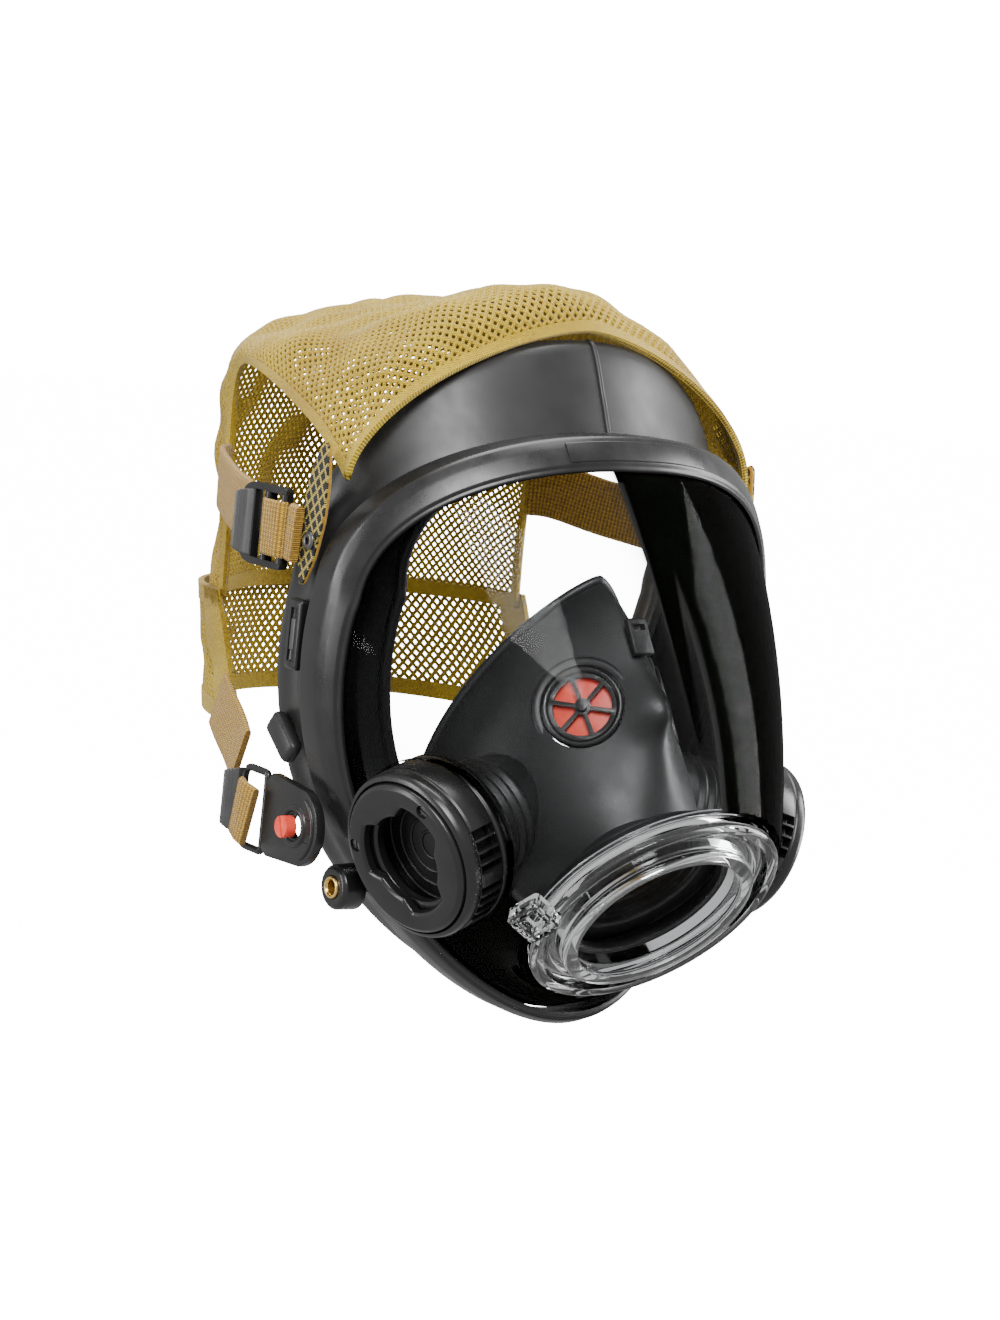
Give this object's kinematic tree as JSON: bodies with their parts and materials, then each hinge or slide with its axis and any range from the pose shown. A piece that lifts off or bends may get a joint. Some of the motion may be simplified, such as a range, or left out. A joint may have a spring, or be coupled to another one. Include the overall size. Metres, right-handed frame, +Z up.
{
  "type": "full face respirator",
  "caption": "Full face respirator with a clear lens, clamping bezel, rubber face seal, nose cup, side voice drums, a front regulator port and a buckled net harness.",
  "frame": {"origin": "on the mid-plane at eye level, at the front of the wearer's face inside the facepiece", "axes": "+Z up, -Y forward (the way the wearer looks), -X towards the wearer's right side, where the coupling boss is"},
  "size_m": [0.1648, 0.2181, 0.208],
  "materials": {
    "clear_polycarbonate": "clear gloss",
    "black_rubber": "satin",
    "black_nylon": "semi-gloss",
    "yellow_netting": "open diamond knit",
    "brown_webbing": "woven",
    "red_silicone": "satin",
    "brass": "turned",
    "dark_steel": "blackened"
  },
  "bodies": {
    "facepiece": {"lens": "clear_polycarbonate", "bezel_upper": "black_nylon", "bezel_lower": "black_nylon", "port_collar": "clear_polycarbonate", "port_gasket": "black_rubber", "port_sleeve": "black_rubber", "coupling_boss": "clear_polycarbonate", "face_seal": "black_rubber", "nose_cup": "black_rubber", "nose_cup_tab": "black_rubber", "head_net": "yellow_netting", "nape_band": "yellow_netting", "clamp_lug_right": "black_nylon", "clamp_lug_left": "black_nylon", "brass_insert_right": "brass", "brass_insert_left": "brass", "bezel_clip_right": "black_nylon", "bezel_clip_left": "black_nylon", "valve_seat_right": "black_rubber", "valve_seat_left": "black_rubber", "voice_drum_right": "black_nylon", "voice_drum_left": "black_nylon", "bayonet_ring_right": "black_nylon", "bayonet_ring_left": "black_nylon", "drum_screw_1_right": "dark_steel", "drum_screw_1_left": "dark_steel", "drum_screw_2_right": "dark_steel", "drum_screw_2_left": "dark_steel", "voice_diaphragm_right": "black_rubber", "voice_diaphragm_left": "black_rubber", "voice_duct_right": "black_rubber", "voice_duct_left": "black_rubber", "temple_strap_right": "brown_webbing", "temple_strap_left": "brown_webbing", "temple_loop_right": "brown_webbing", "temple_loop_left": "brown_webbing", "temple_tab_right": "black_rubber", "temple_tab_left": "black_rubber", "label_patch_right": "yellow_netting", "label_patch_left": "yellow_netting", "label_rivet_right": "dark_steel", "label_rivet_left": "dark_steel", "neck_strap_right": "brown_webbing", "neck_strap_left": "brown_webbing", "neck_tab_right": "black_rubber", "neck_tab_left": "black_rubber"},
    "swivel_right": {"swivel_plate_right": "black_nylon"},
    "button_right": {"release_button_right": "red_silicone"},
    "bail_right": {"strap_bail_right": "black_nylon", "thumb_tab_right": "black_nylon", "strap_fold_right": "brown_webbing"},
    "buckle_right": {"temple_buckle_right": "black_nylon"},
    "valve_right": {"inhalation_valve_right": "red_silicone"},
    "swivel_left": {"swivel_plate_left": "black_nylon"},
    "button_left": {"release_button_left": "red_silicone"},
    "bail_left": {"strap_bail_left": "black_nylon", "thumb_tab_left": "black_nylon", "strap_fold_left": "brown_webbing"},
    "buckle_left": {"temple_buckle_left": "black_nylon"},
    "valve_left": {"inhalation_valve_left": "red_silicone"}
  },
  "joints": [
    {"name": "neck_swivel_right", "type": "hinge", "parent": "facepiece", "child": "swivel_right", "pos_m": [-0.0724, -0.007, -0.068], "axis": [1, 0, 0], "range_deg": [-25, 10]},
    {"name": "button_press_right", "type": "slide", "parent": "swivel_right", "child": "button_right", "axis": [1, 0, 0], "range_m": [0, 0.0012], "stiffness_N_per_m": 200},
    {"name": "bail_turn_right", "type": "hinge", "parent": "swivel_right", "child": "bail_right", "pos_m": [-0.0724, 0.0102, -0.068], "axis": [0, 0, 1], "range_deg": [-15, 40]},
    {"name": "buckle_turn_right", "type": "hinge", "parent": "facepiece", "child": "buckle_right", "pos_m": [-0.0806, 0.0006, 0.0145], "axis": [0, 0, 1], "range_deg": [-8, 45]},
    {"name": "valve_lift_right", "type": "slide", "parent": "facepiece", "child": "valve_right", "axis": [0.7231, 0.5745, -0.3835], "range_m": [0, 0.0015], "stiffness_N_per_m": 30},
    {"name": "neck_swivel_left", "type": "hinge", "parent": "facepiece", "child": "swivel_left", "pos_m": [0.0724, -0.007, -0.068], "axis": [1, 0, 0], "range_deg": [-25, 10]},
    {"name": "button_press_left", "type": "slide", "parent": "swivel_left", "child": "button_left", "axis": [-1, 0, 0], "range_m": [0, 0.0012], "stiffness_N_per_m": 200},
    {"name": "bail_turn_left", "type": "hinge", "parent": "swivel_left", "child": "bail_left", "pos_m": [0.0724, 0.0102, -0.068], "axis": [0, 0, -1], "range_deg": [-15, 40]},
    {"name": "buckle_turn_left", "type": "hinge", "parent": "facepiece", "child": "buckle_left", "pos_m": [0.0806, 0.0006, 0.0145], "axis": [0, 0, -1], "range_deg": [-8, 45]},
    {"name": "valve_lift_left", "type": "slide", "parent": "facepiece", "child": "valve_left", "axis": [-0.7231, 0.5745, -0.3835], "range_m": [0, 0.0015], "stiffness_N_per_m": 30}
  ]
}
